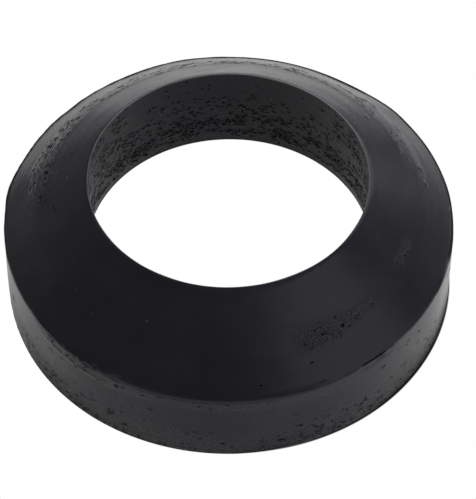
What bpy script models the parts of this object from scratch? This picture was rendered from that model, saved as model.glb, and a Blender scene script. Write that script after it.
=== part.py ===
"""Donut washer that seals a close coupled cistern to its pan, moulded in one piece of rubber.

A straight band carries a cone that narrows to the bore. Underneath, a recess takes the back
nut of the flush valve, whose threaded tail passes through the bore. Metres, +Z up along the
bore's axis, with the origin where that axis meets the plane that the washer stands on.
"""

import math

import bpy
from mathutils import Vector

# The bore clears the 59.6 mm thread of a 2 inch flush valve. Its draft opens it downwards.
BORE_DIAMETER = 0.0615
BORE_DRAFT = math.radians(2.7)

# Outwards from the bore: the shelf that bears on the back nut, then the skirt around the nut.
SHELF_WIDTH = 0.01015
SKIRT_WALL = 0.0080

# Upwards from the foot: the recess, and the straight band with the cone on it.
RECESS_DEPTH = 0.0105
BAND_HEIGHT = 0.0193
CONE_HEIGHT = 0.0149

# Radii of the moulded edges.
RIM_ROUND = 0.00025
SHOULDER_ROUND = 0.0008
FOOT_ROUND = 0.0006
RECESS_MOUTH_ROUND = 0.0005
RECESS_ROOT_ROUND = 0.0010
BORE_FOOT_ROUND = 0.0004

# How finely round stretches are divided: the turned body, and each rounded edge.
TURN_STEPS = 96
EDGE_STEPS = 3
WELD_DISTANCE = 0.00001
SHARP_ANGLE = math.radians(35)

RUBBER_COLOUR = (0.0185, 0.0180, 0.0200, 1.0)
RUBBER_ROUGHNESS = 0.52


def clear_scene():
    """Removes what the scene holds."""
    for found in list(bpy.data.objects):
        bpy.data.objects.remove(found, do_unlink=True)


def rounded_corner(before, corner, after, radius):
    """Points of the arc that rounds a corner of the section, in order from before to after."""
    back = (before - corner).normalized()
    ahead = (after - corner).normalized()
    half_angle = back.angle(ahead) / 2
    tangent_length = radius / math.tan(half_angle)
    centre = corner + (back + ahead).normalized() * radius / math.sin(half_angle)
    first = (corner + back * tangent_length - centre).normalized()
    last = (corner + ahead * tangent_length - centre).normalized()
    shares = [step / EDGE_STEPS for step in range(EDGE_STEPS + 1)]
    return [centre + first.slerp(last, share) * radius for share in shares]


def washer_section():
    """The washer's half section as (radius, height) points, down the outside and up the bore."""
    top = BAND_HEIGHT + CONE_HEIGHT
    bore = BORE_DIAMETER / 2
    bore_foot = bore + (top - RECESS_DEPTH) * math.tan(BORE_DRAFT)
    recess = bore_foot + SHELF_WIDTH
    outside = recess + SKIRT_WALL
    corners = [
        (Vector((bore, top)), RIM_ROUND),
        (Vector((outside, BAND_HEIGHT)), SHOULDER_ROUND),
        (Vector((outside, 0.0)), FOOT_ROUND),
        (Vector((recess, 0.0)), RECESS_MOUTH_ROUND),
        (Vector((recess, RECESS_DEPTH)), RECESS_ROOT_ROUND),
        (Vector((bore_foot, RECESS_DEPTH)), BORE_FOOT_ROUND),
    ]
    section = []
    for place, (corner, radius) in enumerate(corners):
        before = corners[place - 1][0]
        after = corners[(place + 1) % len(corners)][0]
        section += rounded_corner(before, corner, after, radius)
    return section


def moulded_rubber():
    """Near-black rubber with the soft gloss of a moulded skin."""
    material = bpy.data.materials.new("moulded_rubber")
    material.use_nodes = True
    material.diffuse_color = RUBBER_COLOUR
    surface = material.node_tree.nodes["Principled BSDF"]
    surface.inputs["Base Color"].default_value = RUBBER_COLOUR
    surface.inputs["Roughness"].default_value = RUBBER_ROUGHNESS
    surface.inputs["Metallic"].default_value = 0.0
    return material


def turned_washer(collection):
    """The washer: its closed section, turned once about the bore's axis."""
    section = washer_section()
    points = [(point.x, 0.0, point.y) for point in section]
    edges = [(place, (place + 1) % len(points)) for place in range(len(points))]
    mesh = bpy.data.meshes.new("washer")
    mesh.from_pydata(points, edges, [])
    mesh.materials.append(moulded_rubber())

    washer = bpy.data.objects.new("washer", mesh)
    collection.objects.link(washer)
    turn = washer.modifiers.new("turn", "SCREW")
    turn.axis = "Z"
    turn.angle = math.tau
    turn.steps = TURN_STEPS
    turn.render_steps = TURN_STEPS
    turn.use_merge_vertices = True
    turn.merge_threshold = WELD_DISTANCE
    turn.use_smooth_shade = True
    return washer


def apply_turn(washer):
    """Keeps the turned shape as the washer's own mesh, smooth apart from its sharp edges."""
    turned = washer.evaluated_get(bpy.context.evaluated_depsgraph_get())
    mesh = bpy.data.meshes.new_from_object(turned)
    profile = washer.data
    washer.modifiers.clear()
    washer.data = mesh
    bpy.data.meshes.remove(profile)
    mesh.name = "washer"
    mesh.shade_smooth()
    mesh.set_sharp_from_angle(angle=SHARP_ANGLE)


clear_scene()
parts = bpy.data.collections.new("Donut washer")
bpy.context.scene.collection.children.link(parts)
apply_turn(turned_washer(parts))
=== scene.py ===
"""A cistern donut washer of moulded black rubber, as it stands on a pale studio table.

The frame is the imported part's: metres, +Z up along the bore's axis, with the origin on that axis
in the plane of the table. Azimuths are in degrees: 0 is to the right, 90 is away from the
camera, 180 is to the left and 270 is towards the camera.
"""

import math

import bpy
import numpy as np
from mathutils import Euler, Matrix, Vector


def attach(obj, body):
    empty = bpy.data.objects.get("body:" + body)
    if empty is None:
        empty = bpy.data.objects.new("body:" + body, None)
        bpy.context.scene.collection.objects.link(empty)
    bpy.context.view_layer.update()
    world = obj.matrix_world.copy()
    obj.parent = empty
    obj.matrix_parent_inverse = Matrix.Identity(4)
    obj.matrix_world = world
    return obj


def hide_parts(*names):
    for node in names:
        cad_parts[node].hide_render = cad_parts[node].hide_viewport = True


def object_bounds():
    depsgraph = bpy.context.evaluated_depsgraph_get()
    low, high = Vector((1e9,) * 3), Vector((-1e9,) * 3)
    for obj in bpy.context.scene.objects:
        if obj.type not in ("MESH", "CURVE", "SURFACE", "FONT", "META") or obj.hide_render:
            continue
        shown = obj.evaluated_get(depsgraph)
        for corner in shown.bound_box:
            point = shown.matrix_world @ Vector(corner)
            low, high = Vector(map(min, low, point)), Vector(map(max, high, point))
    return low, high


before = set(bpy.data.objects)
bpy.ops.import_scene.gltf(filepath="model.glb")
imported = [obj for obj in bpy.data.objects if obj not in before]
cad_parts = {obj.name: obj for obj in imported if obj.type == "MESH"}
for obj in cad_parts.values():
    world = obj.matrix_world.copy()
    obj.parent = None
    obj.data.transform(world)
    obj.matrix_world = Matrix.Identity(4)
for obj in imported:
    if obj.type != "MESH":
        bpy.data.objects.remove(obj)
cad_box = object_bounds()

# The washer
#
# One ring of black EPDM rubber, pressed in a two-part mould: a straight band with a cone above
# it, the bore for the valve's tail, and a recess underneath for the valve's back nut.

# Its section is in millimetres, and has the sizes of the part.
MM = 0.001

BORE_RADIUS = 30.75
BORE_DRAFT = math.radians(2.7)
SHELF_WIDTH = 10.15
SKIRT_WALL = 8.0
RECESS_DEPTH = 10.5
BAND_HEIGHT = 19.3
CONE_HEIGHT = 14.9

top = BAND_HEIGHT + CONE_HEIGHT
bore_foot = BORE_RADIUS + (top - RECESS_DEPTH) * math.tan(BORE_DRAFT)
recess_radius = bore_foot + SHELF_WIDTH
outside = recess_radius + SKIRT_WALL

# Radii of the moulded edges. The mould parts along the shoulder, which is crisp except at the
# front left and on the right, where it is worn, and the foot is rounder at the front right.
RIM_ROUND = 0.10
RECESS_MOUTH_ROUND = 0.5
RECESS_ROOT_ROUND = 1.0
BORE_FOOT_ROUND = 0.4
SHOULDER_CRISP = 0.45
SHOULDER_WORN = 1.7
FOOT_CRISP = 0.4
FOOT_WORN = 1.0

# Rows of the mesh on each wall, about 0.7 mm apart with one close to each end, so that the edges
# stay crisp, and points across each rounded edge.
BORE_ROWS = 38
CONE_ROWS = 30
BAND_ROWS = 23
SEAT_ROWS = 4
RECESS_ROWS = 5
SHELF_ROWS = 5
EDGE_ROWS = 4
NEAR_EDGE = 0.10
EDGES = ["rim", "shoulder", "foot", "mouth", "root", "bore foot"]


def washer_section(shoulder_round, foot_round):
    """The section's (radius, height) points, down the outside and up the bore, and their walls."""
    corners = [
        ((BORE_RADIUS, top), RIM_ROUND, "bore", BORE_ROWS, "rim"),
        ((outside, BAND_HEIGHT), shoulder_round, "cone", CONE_ROWS, "shoulder"),
        ((outside, 0.0), foot_round, "band", BAND_ROWS, "foot"),
        ((recess_radius, 0.0), RECESS_MOUTH_ROUND, "seat", SEAT_ROWS, "mouth"),
        ((recess_radius, RECESS_DEPTH), RECESS_ROOT_ROUND, "recess", RECESS_ROWS, "root"),
        ((bore_foot, RECESS_DEPTH), BORE_FOOT_ROUND, "shelf", SHELF_ROWS, "bore foot"),
    ]
    edges = []
    for index, (corner, edge_round, *_) in enumerate(corners):
        corner = np.array(corner)
        back = np.array(corners[index - 1][0]) - corner
        ahead = np.array(corners[(index + 1) % len(corners)][0]) - corner
        back /= np.linalg.norm(back)
        ahead /= np.linalg.norm(ahead)
        half_angle = math.acos(back @ ahead) / 2
        inward = (back + ahead) / np.linalg.norm(back + ahead)
        centre = corner + inward * edge_round / math.sin(half_angle)
        first = corner + back * edge_round / math.tan(half_angle) - centre
        last = corner + ahead * edge_round / math.tan(half_angle) - centre
        turn = math.atan2(first[0] * last[1] - first[1] * last[0], first @ last)
        edge = []
        for share in np.linspace(0.0, 1.0, EDGE_ROWS):
            cos, sin = math.cos(turn * share), math.sin(turn * share)
            edge.append(centre + (first[0] * cos - first[1] * sin, first[0] * sin + first[1] * cos))
        edges.append(edge)
    points, walls = [], []
    for index, (*_, wall, wall_rows, edge_name) in enumerate(corners):
        begin, end = edges[index - 1][-1], edges[index][0]
        length = np.linalg.norm(end - begin)
        row_places = np.linspace(NEAR_EDGE, length - NEAR_EDGE, wall_rows - 1)
        points += [begin + (end - begin) * row_place / length for row_place in row_places]
        points += edges[index]
        walls += [wall] * (wall_rows - 1) + [edge_name] * EDGE_ROWS
    return np.array(points), np.array(walls)


def apart(first, second):
    """Degrees between azimuths, the short way round."""
    return np.abs((first - second + 180.0) % 360.0 - 180.0)


def sector(degrees, centre, half_width, fade):
    """1 in a sector of the ring, falling to 0 over a fade on each side of it."""
    return np.interp(apart(degrees, centre), [half_width, half_width + fade], [1.0, 0.0])


# The mesh is a ring of columns and rows whose points lie unevenly, with every other row half a
# column on, so that the pores cut into its cells don't line up.
COLUMNS = 256
UNEVEN = 0.24
SEED = 41
random = np.random.default_rng(SEED)
crisp, wall = washer_section(SHOULDER_CRISP, FOOT_CRISP)
rows = len(crisp)

# Where the shoulder is crisp, the flash left between the two halves of the mould makes it a
# narrow level ledge.
LEDGE_WIDTH = 0.30
LEDGE_ROUND = 0.04
ledge_inner = outside - LEDGE_WIDTH
ledge_height = BAND_HEIGHT + LEDGE_WIDTH * CONE_HEIGHT / (outside - BORE_RADIUS)
crisp[wall == "shoulder"] = [
    (ledge_inner, ledge_height),
    (outside - LEDGE_WIDTH / 2, ledge_height),
    (outside - LEDGE_ROUND, ledge_height),
    (outside, ledge_height - LEDGE_ROUND),
]
half_turned = 0.5 * (np.arange(rows) % 2)
strayed = UNEVEN * random.uniform(-1, 1, (COLUMNS, rows))
column_place = np.arange(COLUMNS)[:, None] + half_turned + strayed
degrees = column_place * 360.0 / COLUMNS
radians = np.radians(degrees)

# Here and below, a sector is given by its middle, half width and fade.
FRONT_LEFT_WEAR = (262.0, 20.0, 22.0)
RIGHT_WEAR = (351.0, 7.0, 10.0)
FOOT_WEAR = (322.0, 30.0, 20.0)
shoulder_wear = np.maximum(sector(degrees, *FRONT_LEFT_WEAR), sector(degrees, *RIGHT_WEAR))
foot_wear = sector(degrees, *FOOT_WEAR)
worn_shoulder = washer_section(SHOULDER_WORN, FOOT_CRISP)[0]
worn_foot = washer_section(SHOULDER_CRISP, FOOT_WORN)[0]
worn_foot[wall == "shoulder"] = crisp[wall == "shoulder"]
section = crisp + shoulder_wear[:, :, None] * (worn_shoulder - crisp)
section += foot_wear[:, :, None] * (worn_foot - crisp)
along = np.roll(section, -1, axis=1) - np.roll(section, 1, axis=1)
inside_wall = (wall == np.roll(wall, 1)) & (wall == np.roll(wall, -1)) & ~np.isin(wall, EDGES)
slide = inside_wall * UNEVEN * random.uniform(-1, 1, (COLUMNS, rows))
row_place = np.arange(rows) + slide
section = section + slide[:, :, None] * along / 2
outward = np.stack([-along[:, :, 1], along[:, :, 0]], axis=2)
outward /= np.linalg.norm(outward, axis=2, keepdims=True)
radius, height = section[:, :, 0], section[:, :, 1]

# A faint ridge runs round the cone above the recess's wall, where the thick skirt passes into the
# thinner rubber over the recess, and the two shrank unevenly.
RIDGE_RADIUS = 42.2
RIDGE_HALF_WIDTH = 0.4
RIDGE_HEIGHT = 0.55
RIDGE_START = BORE_RADIUS + 0.4
RIDGE_END = outside - 0.5
ridge_top = (RIDGE_RADIUS - RIDGE_HALF_WIDTH, RIDGE_RADIUS + RIDGE_HALF_WIDTH)
ridge = np.interp(radius, [RIDGE_START, *ridge_top, RIDGE_END], [0.0, 1.0, 1.0, 0.0])
on_cone = wall == "cone"
swell = on_cone * RIDGE_HEIGHT * ridge

# Slow waves round the ring, as waves in a turn, depth and phase, which lean with the height, and
# finer flow marks along it. They fade out at the foot and at the bore's lower edge.
WAVES = [(5, 0.030, 4.0), (8, 0.020, 1.1), (13, 0.015, 5.2), (21, 0.010, 2.7)]
FLOW_DEPTH = 0.008
FLOW_SPREAD = (5, 1)
LEAN = 9.0
FOOT_FADE = ([0.5, 4.0], [0.0, 1.0])
BORE_FOOT_FADE = ([10.9, 13.0], [0.0, 1.0])


def patchy(random, spreads):
    """A random field, smooth over this many columns and rows, with mean 0 and deviation 1."""
    field = random.standard_normal((COLUMNS, rows))
    for axis, spread in enumerate(spreads):
        steps = range(-2 * spread, 2 * spread + 1)
        shifted = [np.roll(field, step, axis=axis) for step in steps]
        field = sum(math.exp(-((step / spread) ** 2)) * copy for step, copy in zip(steps, shifted))
    return (field - field.mean()) / field.std()


on_bore = wall == "bore"
on_band = wall == "band"
on_shoulder = wall == "shoulder"
on_outside = np.isin(wall, ["rim", "cone", "shoulder", "band"])
lean = height / LEAN
waves = sum(depth * np.sin(count * radians + phase + lean) for count, depth, phase in WAVES)
waves += ~on_band * FLOW_DEPTH * patchy(random, FLOW_SPREAD)
swell += on_outside * np.interp(height, *FOOT_FADE) * waves
swell += on_bore * np.interp(height, *BORE_FOOT_FADE) * waves

# Uneven places that show in the outline: azimuth, half width in degrees, height, reach and swell.
# The foot stays flat.
LUMP_FADE = ([0.0, 2.0], [0.0, 1.0])
LUMPS = [
    (41.0, 6.0, 19.3, 5.0, 0.25),
    (57.0, 9.0, 19.3, 5.0, -0.25),
    (103.0, 9.0, 19.3, 4.0, 0.28),
    (138.0, 4.0, 19.3, 3.0, -0.18),
    (171.0, 8.0, 19.3, 5.0, 0.42),
    (193.0, 6.0, 8.0, 7.0, 0.26),
    (216.0, 8.0, 5.0, 8.0, -0.28),
    (232.0, 7.0, 4.0, 8.0, -0.16),
    (280.0, 7.0, 4.0, 8.0, -0.26),
    (293.0, 4.0, 4.0, 6.0, 0.15),
    (318.0, 10.0, 4.0, 8.0, -0.10),
    (336.0, 16.0, 1.0, 6.0, -0.32),
    (346.0, 5.0, 9.0, 7.0, -0.20),
]
for centre, half_width, lump_height, reach, lump_swell in LUMPS:
    away = np.hypot(radius - outside, height - lump_height) / reach
    aside = apart(degrees, centre) / half_width
    lump = lump_swell * np.exp(-(away**2) - aside**2)
    swell += on_outside * np.interp(height, *LUMP_FADE) * lump

# The shoulder is ragged where the flash was torn off, most of all at the front left.
RAGGED = 0.06
RAGGED_FRONT = 0.16
RAGGED_AT = (130.0, 40.0, 10.0)
RAGGED_FRONT_AT = (228.0, 12.0, 5.0)
RAGGED_REACH = 1.3
ragged = RAGGED * sector(degrees, *RAGGED_AT)
ragged += RAGGED_FRONT * sector(degrees, *RAGGED_FRONT_AT)
from_shoulder = np.hypot(radius - outside, height - BAND_HEIGHT)
near_shoulder = np.exp(-((from_shoulder / RAGGED_REACH) ** 2))
swell += on_outside * near_shoulder * ragged * random.uniform(-1, 1, (COLUMNS, rows))

# A thin lip of flash stands along the shoulder at the front right, over a fine groove.
LIP_SWELL = 0.16
GROOVE_SWELL = -0.28
FLASH_AT = (308.5, 4.0, 2.0)
at_flash = sector(degrees, *FLASH_AT)
swell += at_flash * on_shoulder * LIP_SWELL
swell += at_flash * (np.roll(wall, 1) == "shoulder") * GROOVE_SWELL

section = section + outward * swell[:, :, None]
radius, height = section[:, :, 0], section[:, :, 1]


def turned(pairs):
    """The mesh's (radius, height) pairs as points or directions round the bore's axis."""
    level, up = pairs[:, :, 0], pairs[:, :, 1]
    return np.stack([level * np.cos(radians), level * np.sin(radians), up], axis=2)


ring = turned(section)
ring_outward = turned(outward)

# Gas in the rubber left pores in the skin. They lie in belts: round the lower half of the bore
# and of the band, and on both sides of the cone's ridge at the back. Each belt gives how porous
# the skin is, by height or by distance from the belt's middle.
ANYWHERE = 0.0015
UNDERNEATH = 0.03
BORE_BELT = ([11.6, 13.0, 16.0, 22.0, 28.5], [0.02, 0.46, 0.50, 0.30, 0.02])
BORE_END_BELT = ([22.0, 26.0, 33.0], [0.0, 0.36, 0.26])
RIDGE_BELT = ([0.5, 1.3], [0.50, 0.0])
RIDGE_BELT_RADII = (41.2, 43.7)
BAND_BELT = ([0.0, 5.0, 10.0, 19.0], [0.62, 0.46, 0.10, 0.015])
BAND_MIDDLE_SHARE = 0.5
SHOULDER_CHIPS = ([15.6, 16.4, 18.7], [0.0, 0.6, 0.7])
FEW_CHIPS = 0.3
HIDDEN_SHARE = 0.4

# The sectors in which they lie.
BACK = (90.0, 96.0, 12.0)
FRONT = (270.0, 96.0, 12.0)
BORE_LEFT = (180.0, 30.0, 20.0)
BORE_RIGHT = (0.0, 30.0, 20.0)
RIDGE_BACK = (92.0, 74.0, 14.0)
BAND_LEFT = (225.0, 22.0, 20.0)
BAND_RIGHT = (310.0, 18.0, 14.0)
CHIPS_AT = (228.0, 13.0, 4.0)
FEW_CHIPS_AT = (268.0, 24.0, 12.0)

# Patches on the cone: radius, belt across it, azimuth, and half width and fade in degrees.
CONE_PATCHES = [
    (42.2, ([0.5, 2.8], [0.60, 0.0]), 299.0, 2.0, 9.0),
    (41.9, ([0.3, 1.4], [0.45, 0.0]), 309.0, 6.0, 6.0),
    (41.0, ([0.5, 1.8], [0.30, 0.0]), 337.0, 3.0, 5.0),
    (41.0, ([3.0, 6.0], [0.07, 0.0]), 178.0, 14.0, 8.0),
]

share = np.full(degrees.shape, ANYWHERE)
bore_ends = np.maximum(sector(degrees, *BORE_LEFT), sector(degrees, *BORE_RIGHT))
bore_share = np.interp(height, *BORE_BELT) + bore_ends * np.interp(height, *BORE_END_BELT)
at_back = sector(degrees, *BACK)
behind = at_back > 0.5
share += on_bore * bore_share * (HIDDEN_SHARE + (1 - HIDDEN_SHARE) * at_back)
from_belt = np.minimum(*[np.abs(radius - belt_radius) for belt_radius in RIDGE_BELT_RADII])
share += on_cone * np.interp(from_belt, *RIDGE_BELT) * sector(degrees, *RIDGE_BACK)
for patch_radius, belt, centre, half_width, fade in CONE_PATCHES:
    patch = np.interp(np.abs(radius - patch_radius), *belt)
    share += on_cone * patch * sector(degrees, centre, half_width, fade)
band_sides = np.maximum(sector(degrees, *BAND_LEFT), sector(degrees, *BAND_RIGHT))
at_front = sector(degrees, *FRONT)
band_share = BAND_MIDDLE_SHARE + (1 - BAND_MIDDLE_SHARE) * band_sides
band_share *= np.interp(height, *BAND_BELT)
share += on_band * band_share * (HIDDEN_SHARE + (1 - HIDDEN_SHARE) * at_front)
chips = on_band * np.interp(height, *SHOULDER_CHIPS)
share += chips * sector(degrees, *CHIPS_AT)
share += chips * sector(degrees, *FEW_CHIPS_AT) * FEW_CHIPS
share += np.isin(wall, ["recess", "shelf"]) * UNDERNEATH

# Within the belts the pores gather in clusters. The bore and the back of the cone have the most
# that are wide enough to cut into the mesh, and the widest.
CLUSTERING = np.where(on_bore, 0.55, 0.75)
CLUSTER_SPREAD = (3, 1)
MOST_CLUSTERED = 2.6
OPEN_SHARE = np.where(on_bore, 1.0, np.where(on_cone & behind, 0.7, 0.4))
PORE_HALF_WIDTH = np.where(on_bore, 0.20, np.where(behind, 0.18, 0.14))
PORE_SPREAD = 0.30
NARROWEST = 0.09
WIDEST = 0.40
clusters = 1.0 + CLUSTERING * patchy(random, CLUSTER_SPREAD)
porous = share * np.clip(clusters, 0.0, MOST_CLUSTERED)
can_open = (wall == np.roll(wall, -1)) & ~np.isin(wall, EDGES)
opened = can_open & (random.random(porous.shape) < porous * OPEN_SHARE)
pore_half_width = PORE_HALF_WIDTH * random.lognormal(0.0, PORE_SPREAD, porous.shape)
pore_half_width = np.clip(pore_half_width, NARROWEST, WIDEST)

# Pores that stand alone: azimuth, radius and height.
LONE_HALF_WIDTH = 0.30
LONE_PORES = [
    (248.0, 50.0, 17.6),
    (262.0, 50.0, 17.2),
    (277.1, 47.3, 21.4),
    (291.4, 45.6, 22.7),
    (312.5, 50.0, 1.9),
    (313.9, 50.0, 8.6),
    (325.0, 50.0, 15.5),
]
lone = np.zeros(opened.shape, dtype=bool)
for centre, pore_radius, pore_height in LONE_PORES:
    column = round(centre / 360.0 * COLUMNS)
    row = np.argmin(np.hypot(radius[column] - pore_radius, height[column] - pore_height))
    lone[column, row] = True
    pore_half_width[column, row] = LONE_HALF_WIDTH
opened |= lone

# A long pore takes two cells side by side, mostly in the belts of the bore and the ridge. None
# crosses from one strip of the skin's flat pattern to the other.
STRIPS = 2
columns_per_strip = COLUMNS // STRIPS
LONG_SHARE = np.where(on_bore, 0.40, np.where(on_cone & behind, 0.5, 0.08))
strip_ends = np.arange(COLUMNS) % columns_per_strip == columns_per_strip - 1
long_pore = opened & ~lone & (random.random(porous.shape) < LONG_SHARE) & ~strip_ends[:, None]
for column in range(1, COLUMNS):
    long_pore[column] &= ~long_pore[column - 1]
taken = np.roll(long_pore, 1, axis=0)
opened &= ~taken


def wrapped(field):
    """The field with its first column and first row repeated at its far ends."""
    return np.pad(field, [(0, 1), (0, 1)] + [(0, 0)] * (field.ndim - 2), mode="wrap")


# The number and place of each point, and its spot, which is its place in columns and rows.
place_ids = wrapped(np.arange(COLUMNS * rows).reshape(COLUMNS, rows))
corner_places = wrapped(ring)
spots = wrapped(np.stack([column_place, row_place], axis=2))
spots[-1, :, 0] += COLUMNS
spots[:, -1, 1] += rows

# Plain cells are one quad each.
CELL = ((0, 0), (0, 1), (1, 1), (1, 0))
LONG_CELL = ((0, 0), (0, 1), (1, 1), (2, 1), (2, 0), (1, 0))
plain = ~opened & ~taken
cell_corners = [(slice(over, over + COLUMNS), slice(down, down + rows)) for over, down in CELL]
quads = np.stack([place_ids[corner] for corner in cell_corners], axis=2)[plain]
quad_spots = np.stack([spots[corner] for corner in cell_corners], axis=2)[plain]
strip_of_cell = np.broadcast_to(np.arange(COLUMNS)[:, None] // columns_per_strip, plain.shape)
places = ring.reshape(-1, 3).tolist()
depth_of_place = [0.0] * len(places)
faces = quads.tolist()
face_spots = quad_spots.reshape(-1, 2).tolist()
face_strips = np.repeat(strip_of_cell[plain], len(CELL)).tolist()

# Each open pore is an uneven pit with a raised lip, which leaves the cell's border as it is. Its
# length in widths, its depth in half widths, and how far out its edge lies are drawn by chance.
CELL_LIMIT = 0.43
CELL_MARGIN = 0.05
STRETCH = (1.2, 2.2)
DEPTH = (0.9, 1.6)
EDGE_SHARE = (0.68, 1.0)
FLOOR_SHARE = 0.6
LIP_HEIGHT = 0.09


def within_cell(field, column, row, over, down):
    """The field at a place in a cell, over columns and down rows from the cell's first corner."""
    column, over = column + int(over), over - int(over)
    first = field[column, row] * (1 - down) + field[column, row + 1] * down
    last = field[column + 1, row] * (1 - down) + field[column + 1, row + 1] * down
    return first * (1 - over) + last * over


for column, row in np.argwhere(opened).tolist():
    border = LONG_CELL if long_pore[column, row] else CELL
    cells = len(border) // 2 - 1
    half_width = pore_half_width[column, row]
    cell_width = np.linalg.norm(corner_places[column + 1, row] - corner_places[column, row])
    cell_height = np.linalg.norm(corner_places[column, row + 1] - corner_places[column, row])
    stretch = cells * random.uniform(*STRETCH)
    reach = np.array([half_width * stretch / cell_width, half_width / cell_height])
    reach = np.minimum(reach, (CELL_LIMIT * cells, CELL_LIMIT))
    middle = np.array([cells / 2, 0.5])
    middle += random.uniform(-1, 1, 2) * (middle - CELL_MARGIN - reach)
    up = ring_outward[column, row]
    depth = half_width * random.uniform(*DEPTH)
    sides = 2 * len(border)
    mouth, floor = [], []
    for side in range(sides):
        angle = math.pi + math.tau * (0.5 / len(border) - side / sides)
        spoke = reach * (math.cos(angle), math.sin(angle)) * random.uniform(*EDGE_SHARE)
        lip = LIP_HEIGHT * random.random()
        for edge, share_out, rise in ((mouth, 1.0, lip), (floor, FLOOR_SHARE, -depth)):
            over, down = middle + spoke * share_out
            edge.append((len(places), within_cell(spots, column, row, over, down).tolist()))
            on_skin = within_cell(corner_places, column, row, over, down)
            places.append((on_skin + up * rise).tolist())
            depth_of_place.append(float(edge is floor))
    border_points = [
        (int(place_ids[column + over, row + down]), spots[column + over, row + down].tolist())
        for over, down in border
    ]
    pit = [floor]
    for corner, begin in enumerate(border_points):
        end = border_points[(corner + 1) % len(border)]
        next_mouth = mouth[2 * (corner + 1) % sides]
        pit.append([begin, end, next_mouth, mouth[2 * corner + 1], mouth[2 * corner]])
    for side in range(sides):
        ahead = (side + 1) % sides
        pit.append([mouth[side], mouth[ahead], floor[ahead], floor[side]])
    for face in pit:
        faces.append([place_id for place_id, spot in face])
        face_spots += [spot for place_id, spot in face]
        face_strips += [column // columns_per_strip] * len(face)

# Nothing swells past the size of the part, which leaves a narrow flat land round the rim.
places = np.clip(np.array(places) * MM, *cad_box)

# The shoulder's edge is torn and matt where it was trimmed, from the left round the back to the
# right, and along the lip of flash. There it is also painted dead black, a painted dark line along
# the edge.
TORN_DARK_EDGE_AT = (90.0, 102.0, 14.0)
torn_dark_edge = on_shoulder * np.maximum(sector(degrees, *TORN_DARK_EDGE_AT), at_flash)

# The skin is pebbled where gas gathered under it, least on the back of the cone. The front of the
# cone has pebbles rather than pinholes.
ALL_PEBBLED = 0.5
PEBBLE_STRENGTH = np.where(on_bore, 0.8, np.where(on_cone & behind, 0.45, 1.2))
FRONT_PINHOLES = 0.5
pebbled = np.clip(share / ALL_PEBBLED, 0.0, 1.0) * PEBBLE_STRENGTH
porous *= np.where(on_cone & ~behind, FRONT_PINHOLES, 1.0)

# Flow marks run round the ring. They show most on the outer part of the cone, at the back left,
# and among the bore's pores, and hardly at all on the band.
CONE_FLOW = ([39.0, 43.5], [0.25, 1.0])
CONE_FLOW_ROUND = 0.2
CONE_FLOW_MORE = 0.6
CONE_FLOW_MORE_AT = (140.0, 25.0, 20.0)
BORE_FLOW = 0.35
PORE_FLOW = 0.5
BAND_FLOW = 0.1
flowed_round = CONE_FLOW_ROUND + CONE_FLOW_MORE * sector(degrees, *CONE_FLOW_MORE_AT)
flowed = on_cone * np.interp(radius, *CONE_FLOW) * flowed_round
flowed_bore = BORE_FLOW + PORE_FLOW * np.clip(porous, 0.0, 1.0)
flowed += on_bore * flowed_bore + on_band * BAND_FLOW

SHARP_ANGLE = math.radians(34)
mesh = bpy.data.meshes.new("moulded_ring")
mesh.from_pydata(places.tolist(), [], faces)
mesh.shade_smooth()
mesh.set_sharp_from_angle(angle=SHARP_ANGLE)
no_marks = np.zeros(len(places) - COLUMNS * rows)
marks = {"porosity": porous, "pebbled": pebbled, "torn_dark_edge": torn_dark_edge, "flowed": flowed}
for name, field in marks.items():
    values = np.concatenate([field.reshape(-1), no_marks])
    mesh.attributes.new(name, "FLOAT", "POINT").data.foreach_set("value", values.astype(np.float32))
mesh.attributes.new("pore_depth", "FLOAT", "POINT").data.foreach_set("value", depth_of_place)

# The skin laid out flat in two strips, each half a turn long.
STRIP_MARGIN = 0.01
row_lengths = np.linalg.norm(np.roll(crisp, -1, axis=0) - crisp, axis=1)
row_ends = np.concatenate([[0.0], np.cumsum(row_lengths)])
face_spots, face_strips = np.array(face_spots), np.array(face_strips)
share_along = face_spots[:, 0] / columns_per_strip - face_strips
share_across = np.interp(face_spots[:, 1], np.arange(rows + 1), row_ends / row_ends[-1])
within = 1 - 2 * STRIP_MARGIN
flat_along = STRIP_MARGIN + share_along * within
flat_across = (face_strips + STRIP_MARGIN + share_across * within) / STRIPS
flat = np.stack([flat_along, flat_across], axis=1)
mesh.uv_layers.new(name="OFBake").data.foreach_set("uv", flat.reshape(-1).astype(np.float32))

washer = bpy.data.objects.new("moulded_ring", mesh)
bpy.context.scene.collection.objects.link(washer)


def linear(code):
    """An sRGB hex colour as linear red, green, blue and alpha."""
    colour = []
    for start in (1, 3, 5):
        share = int(code[start : start + 2], 16) / 255
        colour.append(share / 12.92 if share <= 0.04045 else ((share + 0.055) / 1.055) ** 2.4)
    return (*colour, 1.0)


def add_node(tree, kind, inputs, **settings):
    """Adds a node, sets its settings, and sets or links its inputs."""
    made = tree.nodes.new("ShaderNode" + kind)
    for name, value in settings.items():
        setattr(made, name, value)
    for name, value in inputs.items():
        if isinstance(value, bpy.types.NodeSocket):
            tree.links.new(value, made.inputs[name])
        else:
            made.inputs[name].default_value = value
    return made


def per_metre(millimetres):
    """The texture scale that gives a feature this many millimetres wide."""
    return 1.0 / (millimetres * MM)


# EPDM filled with carbon black, as it came from the mould: nearly black with a cold purple cast,
# and a soft gloss that is broken by flow marks, and by grain and pores too small to model.
rubber = bpy.data.materials.new("moulded_epdm_rubber")
rubber.use_nodes = True
tree = rubber.node_tree
skin = tree.nodes["Principled BSDF"]
place = add_node(tree, "TexCoord", {}).outputs["Object"]
in_pore = add_node(tree, "Attribute", {}, attribute_name="pore_depth").outputs["Fac"]
porous_here = add_node(tree, "Attribute", {}, attribute_name="porosity").outputs["Fac"]
pebbled_here = add_node(tree, "Attribute", {}, attribute_name="pebbled").outputs["Fac"]
torn_dark_edge_here = add_node(tree, "Attribute", {}, attribute_name="torn_dark_edge").outputs["Fac"]
flowed_here = add_node(tree, "Attribute", {}, attribute_name="flowed").outputs["Fac"]

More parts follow.
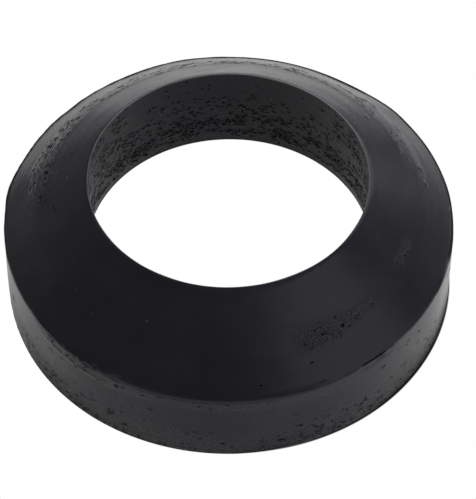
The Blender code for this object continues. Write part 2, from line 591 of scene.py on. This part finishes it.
# Mould release and handling leave duller and glossier areas about 9 mm wide.
cloud = add_node(
    tree,
    "TexNoise",
    {"Vector": place, "Scale": per_metre(9.0), "Detail": 3.0, "Roughness": 0.55},
)
tint = add_node(
    tree, "MapRange", {"Value": cloud.outputs["Fac"], "From Min": 0.35, "From Max": 0.65}
)
black = add_node(
    tree,
    "MixRGB",
    {"Fac": tint.outputs["Result"], "Color1": linear("#1d1c23"), "Color2": linear("#212029")},
)

# The pores and the torn edges are painted dead black: painted shade deepening to each pore's floor,
# and a painted dark line along the torn edges.
PAINTED_SHADE_BLACK = linear("#060607")
dark_edge_share = add_node(tree, "MapRange", {"Value": torn_dark_edge_here, "From Min": 0.8, "From Max": 1.0})
painted_dark_share = add_node(
    tree, "Math", {0: in_pore, 1: dark_edge_share.outputs["Result"]}, operation="MAXIMUM"
)
shaded_pores_and_edge = add_node(
    tree,
    "MixRGB",
    {"Fac": painted_dark_share.outputs["Value"], "Color1": black.outputs["Color"], "Color2": PAINTED_SHADE_BLACK},
)

# Pinholes under 0.2 mm wide, which are drawn 0.45 mm apart so that they show, in clusters about 1.6
# mm wide. Their dark colour is painted shade inside them.
pinholes = add_node(
    tree, "TexVoronoi", {"Vector": place, "Scale": per_metre(0.45), "Randomness": 1.0}
)
pinhole_depth = add_node(
    tree,
    "MapRange",
    {
        "Value": pinholes.outputs["Distance"],
        "From Min": 0.10,
        "From Max": 0.38,
        "To Min": 1.0,
        "To Max": 0.0,
    },
)
gathered = add_node(
    tree, "TexNoise", {"Vector": place, "Scale": per_metre(1.6), "Detail": 2.0}
)
gathered_share = add_node(
    tree, "MapRange", {"Value": gathered.outputs["Fac"], "From Min": 0.42, "From Max": 0.58}
)
porous_share = add_node(
    tree, "MapRange", {"Value": porous_here, "From Min": 0.05, "From Max": 1.0}
)
where = add_node(
    tree,
    "Math",
    {0: gathered_share.outputs["Result"], 1: porous_share.outputs["Result"]},
    operation="MULTIPLY",
)
pinhole = add_node(
    tree,
    "Math",
    {0: pinhole_depth.outputs["Result"], 1: where.outputs["Value"]},
    operation="MULTIPLY",
)
# The pinholes are painted dark here, as painted shade inside them.
shaded_pinholes = add_node(
    tree,
    "MixRGB",
    {"Fac": pinhole.outputs["Value"], "Color1": shaded_pores_and_edge.outputs["Color"], "Color2": PAINTED_SHADE_BLACK},
)

# Where gas gathered without breaking the skin, it left it pebbled, and the tops of the pebbles are
# painted pale: the bloom of the rubber together with painted glints. They are about 0.2 mm wide, and
# drawn at 0.38 mm so that they show.
pebbles = add_node(tree, "TexNoise", {"Vector": place, "Scale": per_metre(0.38), "Detail": 1.0})
pebble_tops = add_node(
    tree, "MapRange", {"Value": pebbles.outputs["Fac"], "From Min": 0.54, "From Max": 0.70}
)
bloom_and_glint = add_node(
    tree, "Math", {0: pebble_tops.outputs["Result"], 1: pebbled_here}, operation="MULTIPLY"
)
bloom_and_glint_colour = add_node(
    tree,
    "MixRGB",
    {"Fac": bloom_and_glint.outputs["Value"], "Color1": shaded_pinholes.outputs["Color"], "Color2": linear("#3f3e40")},
)

# Lint caught on the cone: pale specks at these azimuths, radii and heights in millimetres, which
# fade out between the two radii.
LINT = [
    (175.4, 35.6, 30.6),
    (150.6, 37.4, 29.3),
    (217.7, 41.4, 26.5),
    (243.8, 39.2, 28.1),
    (226.8, 42.7, 25.5),
]
LINT_FULL = 0.06
LINT_END = 0.24
lint_share = 0.0
for lint_azimuth, lint_radius, lint_height in LINT:
    lint_angle = math.radians(lint_azimuth)
    lint_x = lint_radius * math.cos(lint_angle) * MM
    lint_y = lint_radius * math.sin(lint_angle) * MM
    from_lint = add_node(
        tree, "VectorMath", {0: place, 1: (lint_x, lint_y, lint_height * MM)}, operation="DISTANCE"
    )
    near_lint = add_node(
        tree,
        "MapRange",
        {
            "Value": from_lint.outputs["Value"],
            "From Min": LINT_FULL * MM,
            "From Max": LINT_END * MM,
            "To Min": 1.0,
            "To Max": 0.0,
        },
    )
    most_lint = add_node(
        tree, "Math", {0: lint_share, 1: near_lint.outputs["Result"]}, operation="MAXIMUM"
    )
    lint_share = most_lint.outputs["Value"]
dusted = add_node(
    tree,
    "MixRGB",
    {"Fac": lint_share, "Color1": bloom_and_glint_colour.outputs["Color"], "Color2": linear("#6c6a69")},
)
tree.links.new(dusted.outputs["Color"], skin.inputs["Base Color"])

# Gloss: softer in the duller areas, and nearly none in the pores and on the torn edges. Rubber's
# own IOR is about 1.5, and the photograph's fainter sheen asks for less.
GLOSSIEST = 0.22
SOFTEST = 0.28
OPEN_DULLNESS = 0.6
SKIN_IOR = 1.33
sheen = add_node(
    tree,
    "MapRange",
    {
        "Value": cloud.outputs["Fac"],
        "From Min": 0.35,
        "From Max": 0.65,
        "To Min": GLOSSIEST,
        "To Max": SOFTEST,
    },
)
dull = add_node(
    tree, "MapRange", {"Value": painted_dark_share.outputs["Value"], "To Min": 0.0, "To Max": OPEN_DULLNESS}
)
duller = add_node(
    tree, "Math", {0: sheen.outputs["Result"], 1: dull.outputs["Result"]}, operation="ADD"
)
tree.links.new(duller.outputs["Value"], skin.inputs["Roughness"])
skin.inputs["IOR"].default_value = SKIN_IOR

# The grain of the blasted mould is about 0.1 mm, and is drawn at 0.45 mm so that it shows.
GRAIN_HEIGHT = 0.05
GRAIN_STRENGTH = 0.3
grain = add_node(
    tree,
    "TexNoise",
    {"Vector": place, "Scale": per_metre(0.45), "Detail": 3.0, "Roughness": 0.6},
)
grain_bump = add_node(
    tree,
    "Bump",
    {
        "Height": grain.outputs["Fac"],
        "Strength": GRAIN_STRENGTH,
        "Distance": GRAIN_HEIGHT * MM,
    },
)

# Flow marks are 0.5 mm wide across the ring and 6 mm long round it. The noise's fourth
# coordinate, the distance from the axis, is what makes them narrow across the ring.
ACROSS = per_metre(0.5)
ROUND = per_metre(6.0)
level_place = add_node(tree, "VectorMath", {0: place, 1: (1.0, 1.0, 0.0)}, operation="MULTIPLY")
from_axis = add_node(tree, "VectorMath", {0: level_place.outputs["Vector"]}, operation="LENGTH")
strands = add_node(tree, "Math", {0: from_axis.outputs["Value"], 1: ACROSS}, operation="MULTIPLY")
drawn_out = add_node(
    tree, "VectorMath", {0: place, 1: (ROUND, ROUND, ACROSS)}, operation="MULTIPLY"
)
flow_marks = add_node(
    tree,
    "TexNoise",
    {
        "Vector": drawn_out.outputs["Vector"],
        "W": strands.outputs["Value"],
        "Scale": 1.0,
        "Detail": 2.0,
    },
    noise_dimensions="4D",
)

# The pebbles and the flow marks stand up, and the pinholes are sunk.
PEBBLE_HEIGHT = 0.24
FLOW_HEIGHT = 0.12
PINHOLE_DEPTH = 0.16
pebble_height = add_node(
    tree, "Math", {0: pebbles.outputs["Fac"], 1: pebbled_here}, operation="MULTIPLY"
)
flow_height = add_node(
    tree, "Math", {0: flow_marks.outputs["Fac"], 1: flowed_here}, operation="MULTIPLY"
)
normal = grain_bump.outputs["Normal"]
for relief, relief_height, sunk in (
    (pebble_height.outputs["Value"], PEBBLE_HEIGHT, False),
    (flow_height.outputs["Value"], FLOW_HEIGHT, False),
    (pinhole.outputs["Value"], PINHOLE_DEPTH, True),
):
    bump = add_node(
        tree,
        "Bump",
        {"Height": relief, "Strength": 1.0, "Distance": relief_height * MM, "Normal": normal},
        invert=sunk,
    )
    normal = bump.outputs["Normal"]
tree.links.new(normal, skin.inputs["Normal"])
mesh.materials.append(rubber)

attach(washer, "root")
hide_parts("washer")

# The table
#
# A sheet of matt white acrylic, lit a little from below, which ends behind the washer. The camera
# sees it as plain white, because the photograph's background was blanked out, apart from the thin
# shade at the washer's foot.

TABLE_WIDTH = 1.2
TABLE_FRONT = -0.6
TABLE_BACK = 0.15
TABLE_GLOW = 0.28

# Close to the foot the sheet lies in the ring's own shade, a thin dark line that is wider on the
# right. In millimetres: the middle of the foot, how far from there the shade is full and ends, and
# how far it is drawn to the right.
FOOT_MIDDLE = 46.0
SHADE_FULL = 3.55
SHADE_END = 3.80
SHADE_SHIFT = 0.55

table_mesh = bpy.data.meshes.new("table")
left, right = -TABLE_WIDTH / 2, TABLE_WIDTH / 2
table_mesh.from_pydata(
    [(left, TABLE_FRONT, 0), (right, TABLE_FRONT, 0), (right, TABLE_BACK, 0), (left, TABLE_BACK, 0)],
    [],
    [(0, 1, 2, 3)],
)
table = bpy.data.objects.new("table", table_mesh)
bpy.context.scene.collection.objects.link(table)
acrylic = bpy.data.materials.new("lit_white_acrylic")
acrylic.use_nodes = True
acrylic_tree = acrylic.node_tree
acrylic_tree.nodes.clear()
sheet = add_node(acrylic_tree, "BsdfDiffuse", {"Color": linear("#ededed")})
glow = add_node(acrylic_tree, "Emission", {"Color": linear("#ffffff"), "Strength": TABLE_GLOW})
lit_sheet = add_node(acrylic_tree, "AddShader", {0: sheet.outputs[0], 1: glow.outputs[0]})
on_table = add_node(acrylic_tree, "TexCoord", {}).outputs["Object"]
drawn = add_node(
    acrylic_tree, "VectorMath", {0: on_table, 1: (SHADE_SHIFT * MM, 0.0, 0.0)}, operation="SUBTRACT"
)
from_middle = add_node(acrylic_tree, "VectorMath", {0: drawn.outputs["Vector"]}, operation="LENGTH")
past_foot = add_node(
    acrylic_tree,
    "Math",
    {0: from_middle.outputs["Value"], 1: FOOT_MIDDLE * MM},
    operation="SUBTRACT",
)
from_foot = add_node(acrylic_tree, "Math", {0: past_foot.outputs["Value"]}, operation="ABSOLUTE")
in_open = add_node(
    acrylic_tree,
    "MapRange",
    {"Value": from_foot.outputs["Value"], "From Min": SHADE_FULL * MM, "From Max": SHADE_END * MM},
)
shade = add_node(acrylic_tree, "BsdfDiffuse", {"Color": linear("#0c0c0c")})
white = add_node(acrylic_tree, "Emission", {"Color": linear("#ffffff"), "Strength": 1.0})
sheet_seen = add_node(acrylic_tree, "LightPath", {}).outputs["Is Camera Ray"]
plain_sheet = add_node(
    acrylic_tree, "MixShader", {0: sheet_seen, 1: lit_sheet.outputs[0], 2: white.outputs[0]}
)
shaded_sheet = add_node(
    acrylic_tree,
    "MixShader",
    {0: in_open.outputs["Result"], 1: shade.outputs[0], 2: plain_sheet.outputs[0]},
)
add_node(acrylic_tree, "OutputMaterial", {"Surface": shaded_sheet.outputs[0]})
table_mesh.materials.append(acrylic)

# The light
#
# A dim white studio, which the camera sees as blank white. The key softbox stands behind the
# washer. Five weaker ones stand low behind it and round its right, and a faint one low on its left.

ROOM_LIGHT = 0.25

studio = bpy.data.worlds.new("studio")
bpy.context.scene.world = studio
studio.use_nodes = True
studio_tree = studio.node_tree
studio_tree.nodes.clear()
room_seen = add_node(studio_tree, "LightPath", {}).outputs["Is Camera Ray"]
room = add_node(studio_tree, "Background", {"Color": linear("#ffffff"), "Strength": ROOM_LIGHT})
backdrop = add_node(studio_tree, "Background", {"Color": linear("#ffffff"), "Strength": 1.0})
blank_room = add_node(
    studio_tree, "MixShader", {0: room_seen, 1: room.outputs[0], 2: backdrop.outputs[0]}
)
add_node(studio_tree, "OutputWorld", {"Surface": blank_room.outputs[0]})

SOFTBOX_SIDE = 0.8


def softbox(name, azimuth, elevation, power):
    """A square lamp a metre away, facing the washer from that direction, in degrees."""
    lamp = bpy.data.lights.new(name, "AREA")
    lamp.size = SOFTBOX_SIDE
    lamp.energy = power
    box = bpy.data.objects.new(name, lamp)
    bpy.context.scene.collection.objects.link(box)
    turn = math.radians(azimuth)
    rise = math.radians(elevation)
    level = math.cos(rise)
    box.location = (level * math.cos(turn), level * math.sin(turn), math.sin(rise))
    box.rotation_euler = (math.pi / 2 - rise, 0.0, turn + math.pi / 2)


softbox("key_softbox", 90.0, 35.0, 5.4)
softbox("rear_right_softbox", 60.0, 35.0, 2.7)
softbox("low_rear_softbox", 90.0, 12.0, 1.3)
softbox("low_right_softbox", 30.0, 12.0, 0.32)
softbox("right_softbox", 330.0, 35.0, 1.68)
softbox("high_right_softbox", 315.0, 60.0, 0.33)
softbox("low_left_softbox", 150.0, 12.0, 0.1)

# The camera
#
# A long lens 0.58 m away, looking down at the washer as the photograph does. The angles are in
# radians, the distances in metres, and the lens in millimetres.

CAMERA_RISE = 0.8818
CAMERA_ROLL = -0.0058
CAMERA_DISTANCE = 0.5838
CAMERA_AIM = (0.0020, 0.0043, 0.0038)
FOCAL_LENGTH = 184.3
SENSOR_WIDTH = 36.0
CLIP_START = 0.01

lens = bpy.data.cameras.new("camera")
lens.lens = FOCAL_LENGTH
lens.sensor_width = SENSOR_WIDTH
lens.clip_start = CLIP_START
camera = bpy.data.objects.new("camera", lens)
bpy.context.scene.collection.objects.link(camera)
camera.location = (
    CAMERA_AIM[0],
    CAMERA_AIM[1] - CAMERA_DISTANCE * math.cos(CAMERA_RISE),
    CAMERA_AIM[2] + CAMERA_DISTANCE * math.sin(CAMERA_RISE),
)
tilt = Euler((math.pi / 2 - CAMERA_RISE, 0.0, 0.0)).to_matrix()
camera.rotation_euler = (tilt @ Matrix.Rotation(CAMERA_ROLL, 3, "Z")).to_euler()
bpy.context.scene.camera = camera
bpy.context.scene.view_settings.view_transform = "Standard"
